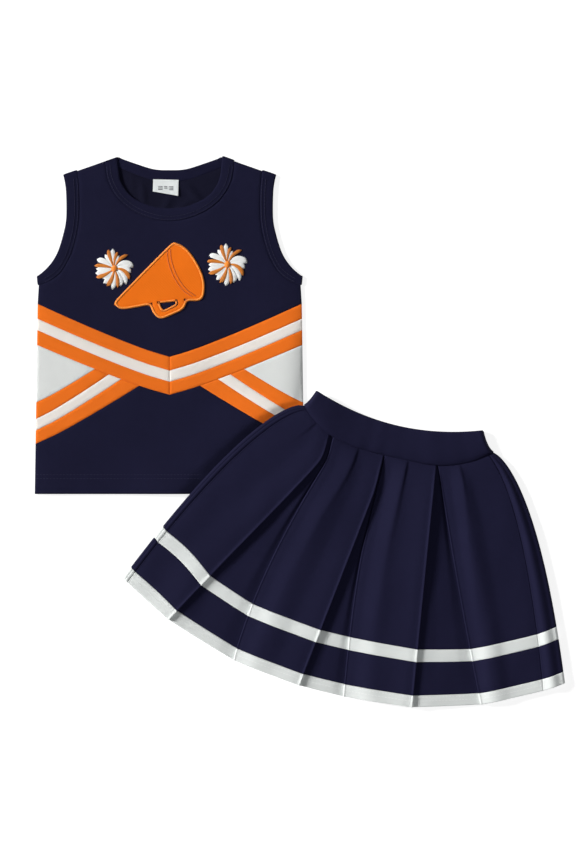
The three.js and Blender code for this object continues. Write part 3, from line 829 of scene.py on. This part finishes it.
def petal_threads(centre, radius, tip, root, reach, width, rng, raised):
    """Threads that fan out from the hub, bend round to the tip and close to a blunt point."""
    strands = max(4, round(width / 0.52))
    share = ALONG_PETAL
    spread = 0.16 + 0.84 * np.sin(math.pi / 2 * np.minimum(1, share / WIDEST)) ** 1.2
    past = np.maximum(0, share - WIDEST) / (1.04 - WIDEST)
    bulge = spread * np.sqrt(np.clip(1 - past**2, 0, 1))
    turn = math.radians(root) + math.radians(tip - root) * share**1.4
    distance = ROOT_RADIUS + (radius * reach - ROOT_RADIUS) * share
    spine = np.stack([np.cos(turn), np.sin(turn)], 1) * distance[:, None]
    left = left_of(unit(np.gradient(spine, axis=0)))
    made = []
    for k in range(strands):
        side = (k + 0.5) / strands * 2 - 1
        short = 1 - 0.10 * side**2 - rng.uniform(0, 0.035)
        line = spine + left * (side * width / 2 * bulge)[:, None]
        at = read_at(share * short, share, line) + centre
        crown = 0.8 * (1 - 0.6 * side**2) * np.sin(np.pi * share) ** 0.45
        z = on_yoke(at[:, 0], at[:, 1]) + 0.1 + raised + crown
        made.append(np.column_stack([at, z]))
    return made


def build_pompoms():
    rng = np.random.default_rng(21)
    for side in ("left", "right"):
        low, high = box_of(f"pompom_white_{side}")
        centre = (low[:2] + high[:2]) / 2
        radius = POMPOM_RADIUS * (1.0 if side == "left" else 1.04)
        for colour, letter, material, full, raised in (("white", "w", WHITE_THREAD, 1.06, 0.0),
                                                       ("orange", "o", PETAL_ORANGE, 0.92, 0.35)):
            paths = []
            for tip, root, reach, width, kind in PETALS:
                if kind == letter:
                    paths += petal_threads(centre, radius, tip, root, reach, width * full, rng,
                                           raised)
            name = f"pompom_{colour}_{side}"
            radii = 0.36 * (1 - 0.55 * np.abs(2 * ALONG_PETAL - 1) ** 5)
            settle(tubes(name, paths, radii, material), "top", f"thread_{colour}", name)
        hub = tubes(f"pompom_hub_{side}", hub_threads(centre), 0.3, ORANGE_THREAD)
        settle(hub, "top", "thread_orange")


def hub_threads(centre):
    """The hub: satin threads side by side over a small disc."""
    hub, crown = 3.0, 1.8
    share = np.linspace(-1, 1, 11)
    made = []
    for offset in np.arange(-hub + 0.3, hub, 0.5):
        half = math.sqrt(hub**2 - offset**2)
        x = centre[0] + share * half
        y = centre[1] + offset + share * 0.3
        dome = np.sqrt(np.maximum(0, 1 - (share * half / hub) ** 2 - (offset / hub) ** 2 * 0.8))
        made.append(np.column_stack([x, y, on_yoke(x, y) + 0.3 + crown * dome]))
    return made


# ------------------------------ the skirt
# t is a row's share of the way from the waist seam down to the hem, and side is -1 for the left and
# 1 for the right. across and down are mm from the middle of the waistband's top edge.
SIDE_FALL = 204.0                 # how far each side runs down from the waistband
SIDE_REACH, SIDE_TOP = 92.0, 16.0  # where the sides start at the waistband


def row_end(t, side):
    """How far a row of cloth reaches to one side, and the depth of its end."""
    start, flare, bend, drop = (0, 3.716, 0.67, 1.2) if side < 0 else (1.5, 4.6, 0.62, 1.06)
    fall = start + (SIDE_FALL - start) * t**drop
    return SIDE_REACH + flare * fall**bend, SIDE_TOP + fall


def smooth_depth(across, t):
    """Depth along a row as one smooth curve, highest at its ends."""
    middle = WAIST_LOW + SKIRT_LENGTH * t
    reach, end = (np.where(across < 0, *ends) for ends in zip(row_end(t, -1), row_end(t, 1)))
    share = np.minimum(1, np.abs(across) / reach)
    return end + (middle - end) * (1 - share ** (3.4 - 1.05 * t))


def row_depth(across, t):
    """Depth along a row. Low down, each panel hangs nearly straight between its pressed folds."""
    places = fold_places(t)
    straight = np.interp(across, places, smooth_depth(np.array(places), t))
    curve = smooth_depth(across, t)
    bow = np.sin(math.pi * np.clip((across - places[1]) / (places[2] - places[1]), 0, 1))
    bow *= 3.4 * np.sin(math.pi * np.clip((t - 0.5) / 0.5, 0, 1))
    return curve + (straight - curve) * 0.8 * smoothstep(t, 0.2, 0.75) - bow


def silhouette_line(side):
    """Depths and reaches down one folded side, in growing depth."""
    ends = [row_end(t, side) for t in np.linspace(0, 1, 60)]
    return [end[1] for end in ends], [end[0] for end in ends]


def lift(x, y):
    """How high the skirt is carried at a place by the top that lies under it."""
    away = np.hypot(np.maximum(0, x - TOP_X - HALF_HEM), np.maximum(0, HEM_Y - y))
    return SKIRT_LIFT * (1 - smoothstep(away, 10, 70))


def on_skirt(across, down, z):
    """The place on the table of a point of the skirt, lifted where the skirt lies over the top."""
    x = SKIRT_X + across * TURN_COS - down * TURN_SIN
    y = SKIRT_Y - across * TURN_SIN - down * TURN_COS
    return np.stack([x, y, z + lift(x, y)], -1)


def after(t, start):
    """Share of the way from start to the hem, turning smoothly from nothing."""
    past = t - start
    return (past + math.hypot(past, 0.03)) / 2 / (1 - start)


def recess_edges(k, t):
    """Where a recess starts and ends across the skirt."""
    if k == 0:
        left = -61 - 109.5 * after(t, 0.095)
        right = -56.5 - 44 * (1 - max(0.0, 1 - after(t, 0.09)) ** 1.65)
    elif k == 1:
        left, right = -5.4 - 27.6 * after(t, 0.15), -4 + 15 * after(t, 0.4) ** 1.4
    else:
        left, right = 46.4 + 31.6 * t, 48.4 + 94 * t
    return left, max(right, left + 1.6)


def side_seam(t, side):
    """Where a side seam is across the skirt, a little inside the folded edge."""
    inset = 4.2 + ((5 if side < 0 else 18.5) - 4.2) * t**0.55
    return side * (row_end(t, side)[0] - inset)


def fold_places(t):
    """The folds and seams across a row, from left to right."""
    folds = [edge for k in range(3) for edge in recess_edges(k, t)]
    return [-row_end(t, -1)[0], side_seam(t, -1), *folds, side_seam(t, 1), row_end(t, 1)[0]]


UNDERLAY_Z = 2.4                  # the deepest cloth in a recess, just above the back layer
SIDE_Z = {-1: 4.2, 1: 5.6}        # height of the cloth at each side seam
PUFF_LENGTH = 15.0                # how quickly the skirt swells below the waist seam
SEAM_GAP = 0.06                   # clearance between the visual pieces on each side of a seam
# Each raised panel climbs from its left edge to a crest, falls to a trough and runs on to its
# right-hand fold. crest lists the crest's share of the width at the waist, at 0.3 of the length
# and at the hem; trough the trough's share at the waist and at the hem; start is the share of the
# way to the crest that stays level first. swell, dip and the shoulder's second number are heights
# against the right-hand edge. The crest starts as a sharp tuck, which fades down the length.
PANELS = [
    {"crest": (0.46, 0.20, 0.22), "trough": (0.60, 0.38), "swell": -3.0, "dip": 2.9, "tuck": 2.2,
     "fade": 0.05, "shoulder": (0.72, -1.2), "start": 0.05},
    {"crest": (0.50, 0.36, 0.26), "trough": (0.64, 0.60), "swell": -1.1, "dip": 2.3, "tuck": 2.0,
     "fade": 0.30, "shoulder": (0.78, -1.3), "start": 0.35},
    {"crest": (0.44, 0.38, 0.32), "trough": (0.58, 0.50), "swell": -1.5, "dip": 2.1, "tuck": 2.0,
     "fade": 0.70, "shoulder": (0.80, -1.1), "start": 0.35},
    {"crest": (0.42, 0.27, 0.15), "trough": (0.54, 0.44), "swell": 3.3, "dip": -0.4, "tuck": 1.8,
     "fade": 0.20, "shoulder": (0.84, 0.3), "start": 0.42}]
# Each recess: the height of the fold that stands over it, then the cloth's fall from under that
# fold as two corners of (share of the width, share of the fall left).
RECESSES = [
    (2.8, (0.22, 0.42), (0.76, 0.52)),
    (4.0, (0.32, 0.50), (0.76, 0.38)),
    (5.2, (0.34, 0.56), (0.76, 0.34))]


def puff(t):
    """How far the skirt has swollen below the waist seam, from 0 to 1."""
    return 1 - math.exp(-max(0.0, t) * SKIRT_LENGTH / PUFF_LENGTH)


def bent_line(x, corners):
    """Heights along straight runs between corners of (place, height, softness)."""
    places, heights, softness = (np.array(column) for column in zip(*sorted(corners)))
    slopes = np.diff(heights) / np.diff(places)

    def height(at):
        line = heights[0] + slopes[0] * (at - places[0])
        for place, bend, soft in zip(places[1:-1], np.diff(slopes), softness[1:-1]):
            past = at - place
            line = line + bend * (past + np.hypot(past, soft)) / 2
        return line

    ends = places[[0, -1]]
    return height(x) + np.interp(x, ends, heights[[0, -1]] - height(ends))


def fold_radius(t):
    return 0.70 - 0.06 * puff(t)


def recess_top(k, t):
    """Height of the recess cloth beside the fold that stands over it."""
    return UNDERLAY_Z + RECESSES[k][0] * puff(t)


def side_level(side, t):
    """Height of the cloth at a side seam."""
    return 5.2 + (SIDE_Z[side] - 5.2) * puff(t)


def panel_levels(k, t):
    """Heights of a panel's left and right ends."""
    bends = 4 * fold_radius(t)
    return (side_level(-1, t) if k == 0 else UNDERLAY_Z + bends,
            side_level(1, t) if k == 3 else recess_top(k, t) + bends)


def panel_line(k, start, end, t):
    """Across and height along a raised panel's row."""
    spec = PANELS[k]
    width = end - start
    crest = float(np.interp(t, (0, 0.3, 1), spec["crest"]))
    trough = spec["trough"][0] + (spec["trough"][1] - spec["trough"][0]) * t
    even = np.linspace(0, 1, 38)
    spread = (even + (1 - np.cos(math.pi * even)) / 2) / 2
    share = np.concatenate([crest * spread, crest + (1 - crest) * spread[1:]])
    low, high = panel_levels(k, t)
    full = puff(t)
    tuck = spec["tuck"] * math.exp(-t / spec["fade"]) * (1 - math.exp(-t * SKIRT_LENGTH / 4))
    top = high + spec["swell"] * full
    shoulder, rise = spec["shoulder"]
    sharp, soft = 0.8 + 6 * t, 2.5 + 3 * t
    z = bent_line(share * width, [
        (0, low, soft), (spec["start"] * crest * width, low, soft),
        (crest * width, top + tuck * 0.6, sharp),
        (crest * width + 1.0 + 10 * t, top - tuck * 0.4, sharp),
        (max(trough * width, crest * width + 2.0 + 11 * t), high - spec["dip"] * full, soft),
        (shoulder * width, high + rise * full, 2 * soft), (width, high, soft)])
    for away, folded in ((share * width, False), ((1 - share) * width, k < 3)):
        z -= hollow(away, folded) * full
    return share * width + start, z


def hollow(away, folded):
    """The dip just inside a right-hand fold, or inside a seam."""
    reach, deep = (2.2, 0.6) if folded else (1.2, 0.25)
    return deep * away / reach * np.exp(1 - away / reach)


def turn_line(across, z, radius, start_angle, sweep):
    """Half-round fold in the across-height plane, without its end points."""
    angle = start_angle + sweep * np.arange(1, 8) / 8
    return across + radius * np.cos(angle), z + radius * np.sin(angle)


def recess_line(k, t):
    """From a panel's right-hand fold, under it, across the recess, and out under the next panel."""
    edge, far = recess_edges(k, t)
    tuck = 12 - 5 * t
    r = fold_radius(t)
    high, low = recess_top(k, t), UNDERLAY_Z
    quarter = math.pi / 2
    wide = far - edge
    soft = 0.3 + 0.04 * wide
    slopes = [(place * wide, low + (high - low) * left, soft) for place, left in RECESSES[k][1:]]
    across = np.linspace(edge - tuck + r, far + tuck - r, 60)
    floor = bent_line(across - edge, [
        (-tuck, high, soft), (0, high, soft), *slopes,
        (wide - min(2.0, 0.1 * wide), low, soft / 2), (wide + tuck, low, soft)])
    pieces = [
        turn_line(edge - r, high + 3 * r, r, quarter, -math.pi),
        (np.linspace(edge - r, edge - tuck + r, 8), np.full(8, high + 2 * r)),
        turn_line(edge - tuck + r, high + r, r, quarter, math.pi),
        (across, floor),
        turn_line(far + tuck - r, low + r, r, -quarter, math.pi),
        (np.linspace(far + tuck - r, far + r, 8), np.full(8, low + 2 * r)),
        turn_line(far + r, low + 3 * r, r, -quarter, -math.pi)]
    return [np.concatenate(part) for part in zip(*pieces)]


def front_line(t):
    """The front layer from side seam to side seam: four panels and the recesses between them."""
    edges = [side_seam(t, -1) + SEAM_GAP]
    for k in range(3):
        left, right = recess_edges(k, t)
        edges += [left - fold_radius(t), right + fold_radius(t)]
    edges.append(side_seam(t, 1) - SEAM_GAP)
    lines = []
    for k in range(4):
        lines.append(panel_line(k, edges[2 * k], edges[2 * k + 1], t))
        if k < 3:
            lines.append(recess_line(k, t))
    return [np.concatenate(part) for part in zip(*lines)]


def back_line(t):
    """The back layer: flat on the table, and wrapped over both sides up to the set-in seams."""
    angle = np.linspace(math.pi / 2, -math.pi / 2, 17)
    sides = []
    for side, swell in ((-1, 0.5), (1, 2.2)):
        level = side_level(side, t)
        radius = (level - BACK_MID) / 2
        reach = row_end(t, side)[0] - 1.3 * math.exp(-t * SKIRT_LENGTH / 6)
        share = np.linspace(0, 1, 14, endpoint=False)
        inner = abs(side_seam(t, side)) + SEAM_GAP
        flat = inner + (reach - radius - inner) * share
        ridge = swell * puff(t) * np.sin(math.pi * share) ** 2
        across = np.concatenate([flat, reach - radius + radius * np.cos(angle)])
        z = np.concatenate([level + ridge - hollow(flat - inner, False) * puff(t),
                            level - radius + radius * np.sin(angle)])
        sides.append((side * across, z))
    (left_a, left_z), (right_a, right_z) = sides
    flat = np.linspace(left_a[-1], right_a[-1], 150)[1:-1]
    return (np.concatenate([left_a, flat, right_a[::-1]]),
            np.concatenate([left_z, np.full(len(flat), BACK_MID), right_z[::-1]]))


def fullness(across, down, z, t):
    """Lifts the cloth in long soft waves: upper layers most, the back layer on the table least."""
    wave = (0.8 + 0.35 * ripple(across, down * 0.35, 62, 31)
            + 0.2 * ripple(across, down * 0.5, 26, 32))
    flutter = 1.1 * smoothstep(t, 0.6, 1) * (0.5 + 0.5 * ripple(across, down * 0.1, 40, 33))
    share = np.clip((z - BACK_MID) / 9, 0, 1)
    return np.maximum(0, wave + flutter) * share * puff(t) ** 2 + 0.2 * (1 - share) * (
        0.5 + 0.5 * ripple(across, down, 55, 34))


def cloth_rows(line_of, start, end, step, thickness):
    """Rings of cloth from one seam to the next, with the cut ends rounded over."""
    gap = SEAM_GAP / SKIRT_LENGTH
    low, high = start + gap, end - gap
    nose = np.array([0.0, 0.12, 0.3, 0.6]) / SKIRT_LENGTH
    rows = max(2, int((high - low) * SKIRT_LENGTH / step))
    inner = np.linspace(low + nose[-1], high - nose[-1], rows)
    places = np.concatenate([low + nose[:-1], inner, high - nose[:-1][::-1]])
    away = np.minimum(places - low, high - places) * SKIRT_LENGTH
    rounding = np.sqrt(np.clip(1 - (1 - np.minimum(1, away / 0.6)) ** 2, 0.02, 1))
    rings, uvs = [], []
    for t, full in zip(places, rounding):
        across, z = line_of(t)
        rings.append(offset_ring(across, z, t, thickness / 2 * full))
        far = travelled(np.column_stack([across, z]))
        far = far - far[-1] / 2
        place = np.column_stack([far, row_depth(across, t)])
        uvs.append(np.concatenate([place, place[::-1]]))
    return rings, uvs


def surface_of(across, z, t):
    """A row of the cloth's middle as across-height points, with their normals."""
    line = np.column_stack([across, z + fullness(across, row_depth(across, t), z, t)])
    return line, left_of(unit(np.gradient(line, axis=0)))


def laid(line, t):
    """The places on the table of a row's across-height points."""
    across, z = line.T
    return on_skirt(across, row_depth(across, t), z)


def offset_ring(across, z, t, half):
    """A ring of points round a row of cloth, `half` mm either side of its middle."""
    line, normal = surface_of(across, z, t)
    end = from_end(len(across))
    push = normal * half * np.where(end == 0, 0.45, np.where(end == 1, 0.9, 1.0))[:, None]
    return laid(np.concatenate([line + push, (line - push)[::-1]]), t)


def build_skirt_cloth():
    # Each band: its name, where it starts and ends, its row spacing and thickness, and its look.
    bands_down = [
        ("upper_panel", 0.0, STRIPE_TOP, 2.6, CLOTH, SKIRT_KNIT, "skirt_navy"),
        ("ribbon_stripe", STRIPE_TOP, STRIPE_END, 1.6, 1.15, SKIRT_WHITE, "skirt_white"),
        ("lower_panel", STRIPE_END, HEM_TOP, 2.4, CLOTH, SKIRT_KNIT, "skirt_navy"),
        ("hem_band", HEM_TOP, 1.0, 1.2, 1.3, SKIRT_WHITE, "skirt_white")]
    for name, start, end, step, thickness, material, slot in bands_down:
        for layer, line_of in (("front", front_line), ("back", back_line)):
            full = f"skirt_{layer}_{name}"
            rings, uvs = cloth_rows(line_of, start, end, step, thickness)
            piece = skin(full, rings, material, uvs, closed=False)
            settle(piece, "skirt", slot, full)


def skirt_stitches(name, line_of, t):
    """A row of stitches that follows the skirt's folds."""
    line, normal = surface_of(*line_of(t), t)
    points = laid(line + normal * 0.62, t)
    normals = np.column_stack([normal[:, 0] * TURN_COS, -normal[:, 0] * TURN_SIN, normal[:, 1]])
    stitch_row(name, points, "skirt", "skirt_white", WHITE_THREAD, normals, radius=0.17)


def build_skirt_stitching():
    for k, below in enumerate((2.0, 5.6)):
        t = HEM_TOP + below / SKIRT_LENGTH
        skirt_stitches(f"skirt_front_hem_stitches_{k + 1}", front_line, t)
        skirt_stitches(f"skirt_back_hem_stitches_{k + 1}", back_line, t)


# ------------------------------ waistband
WAIST_HEIGHT = 7.4
WAIST_REACH, WAIST_SAG = 83.4, 15.0
CASING_DEPTH = 29.0


def waist_stations():
    """Places round the flattened waistband: the share across, and the turn round its side folds."""
    flat = np.linspace(-1, 1, 150)
    bend = math.pi * np.arange(1, 12) / 12
    place = np.concatenate([flat, np.ones_like(bend), -flat, -np.ones_like(bend)])
    angle = np.concatenate([flat * 0, bend, flat * 0 + math.pi, math.pi - bend])
    return place, angle


def waist_ring(flat, angle, share, depth):
    """Points of one section round the flattened waistband: share runs down, depth runs inwards."""
    radius = WAIST_HEIGHT / 2
    facing = math.cos(angle)      # 1 on the upper side, -1 underneath
    share = share * (1 + 0.035 * max(0.0, facing))
    reach = WAIST_REACH + (row_end(0, flat)[0] - WAIST_REACH) * share
    gathers = 0.16 * ripple(flat * 90, share * 4, 13, 41) * (0.25 + 0.75 * np.abs(share - 0.45) * 2)
    swell = 0.75 * ripple(flat * 90, share * 8, 58, 42) + 0.9 * np.sin(np.pi * np.clip(share, 0, 1))
    swell = swell - 1.3 * share**10
    out = radius - depth + (gathers + swell) * (1 if facing > 0 else 0.25) * abs(facing)
    across = flat * (reach - radius) + np.sign(flat) * (radius - depth) * math.sin(angle)
    top = WAIST_SAG * (1 - np.minimum(1, np.abs(across) / reach) ** 2)
    down = top + (row_depth(across, 0) - top) * share
    return on_skirt(across, down, radius + 0.3 + out * facing)


def casing_section():
    """The folded casing's section: up the outside, over the top fold and down the inside."""
    layer, inner_layer = 0.45, 2.75
    bend = (inner_layer - layer) / 2
    angle = np.linspace(math.pi / 2, -math.pi / 2, 12)
    run = np.linspace(0.995 * CASING_DEPTH, bend, 22)
    line = np.concatenate([
        np.column_stack([run, np.full(len(run), layer)]),
        np.column_stack([bend - bend * np.cos(angle), layer + bend - bend * np.sin(angle)])[1:-1],
        np.column_stack([run[::-1], np.full(len(run), inner_layer)])])
    half = np.where(from_end(len(line)) == 0, 0.2, 0.4)
    push = left_of(unit(np.gradient(line, axis=0))) * half[:, None]
    section = np.concatenate([line + push, (line - push)[::-1]])
    return section[:, 0] / CASING_DEPTH, section[:, 1]


def build_waistband():
    def hoop(name, share, depth, material, slot):
        rings = [waist_ring(flat, angle, share, depth) for flat, angle in zip(*waist_stations())]
        return settle(skin(name, rings, material), "skirt", slot, name)
    casing = hoop("waistband_casing", *casing_section(), SKIRT_KNIT, "skirt_navy")
    down = np.linspace(0.16, 0.9, 14)
    elastic = hoop("waist_elastic", np.concatenate([down[::-1], down]), np.repeat([1.25, 1.95], 14),
                   ELASTIC_WEAVE, "elastic")


# ------------------------------ stage
def sun(name, towards, strength, softness, colour):
    """A far, soft light that shines along the direction `towards`."""
    data = bpy.data.lights.new(name, "SUN")
    data.angle = math.radians(softness)
    data.energy = strength
    data.color = colour
    lamp = add_object(name, data)
    lamp.rotation_euler = Vector(towards).to_track_quat("-Z", "Y").to_euler()
    lamp.location = -Vector(towards) * 2


def build_stage():
    """A bright paper table under an even white sky, with a soft key light from the left."""
    reach, level = 3.0, -0.0002
    mesh = bpy.data.meshes.new("floor")
    corners = ((-reach, -reach), (reach, -reach), (reach, reach), (-reach, reach))
    mesh.from_pydata([(*corner, level) for corner in corners], [], [(0, 1, 2, 3)])
    floor = add_object("floor", mesh)
    material, tree, shader = principled("floor_paper", (0.35, 0.35, 0.35), 0.95, 0.1)
    set_inputs(tree, shader, {"Emission Color": (*PLAIN, 1), "Emission Strength": 0.80})
    mesh.materials.append(material)
    world = bpy.data.worlds.new("studio")
    bpy.context.scene.world = world
    world.use_nodes = True
    sky = {"Color": (*PLAIN, 1), "Strength": 0.13}
    set_inputs(world.node_tree, world.node_tree.nodes["Background"], sky)
    sun("key", (0.85, -0.28, -0.437), 5.35, 12, (1, 0.99, 0.98))
    sun("fill", (-0.25, 0.1, -0.96), 0.6, 40, (0.98, 0.99, 1))


def build_camera():
    """Straight down, framing 838 mm of the table from top to bottom."""
    height = 2.6
    span = 838.08 * MM
    data = bpy.data.cameras.new("camera")
    data.sensor_fit = "AUTO"
    data.sensor_width = 36
    data.lens = data.sensor_width * height / span
    data.clip_end = 20
    camera = add_object("camera", data)
    camera.location = (-0.01153, -0.00058, height)
    bpy.context.scene.camera = camera


bpy.context.scene.view_settings.view_transform = "Standard"
build_camera()
build_stage()
build_top_cloth()
build_bands()
build_top_stitching()
build_label()
build_megaphone()
build_pompoms()
build_waistband()
build_skirt_cloth()
build_skirt_stitching()
